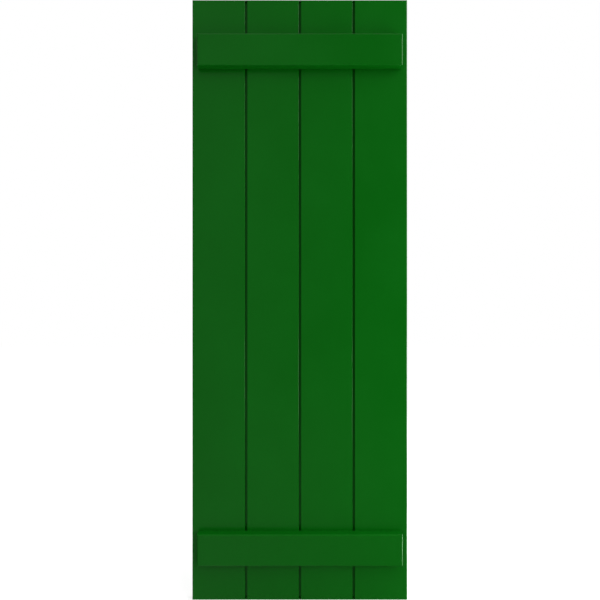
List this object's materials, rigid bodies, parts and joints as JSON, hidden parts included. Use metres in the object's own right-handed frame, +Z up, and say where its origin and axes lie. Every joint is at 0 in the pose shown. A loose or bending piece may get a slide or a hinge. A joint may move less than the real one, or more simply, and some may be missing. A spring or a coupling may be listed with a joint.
{
  "type": "board and batten shutter",
  "caption": "Painted board and batten window shutter: upright tongue and groove boards joined edge to edge, held by a flat batten across the front near the top and the bottom.",
  "frame": {"origin": "middle of the flat back of the boards, where the shutter lies against the wall", "axes": "+Z up along the boards, +Y into the wall, so the battens face -Y; +X to the right seen from the front"},
  "size_m": [0.5462, 0.0381, 1.524],
  "materials": {
    "green_paint": "satin paint on planed wood"
  },
  "bodies": {
    "root": {"left_outer_board": "green_paint", "left_inner_board": "green_paint", "right_inner_board": "green_paint", "right_outer_board": "green_paint", "top_batten": "green_paint", "bottom_batten": "green_paint"}
  },
  "joints": []
}
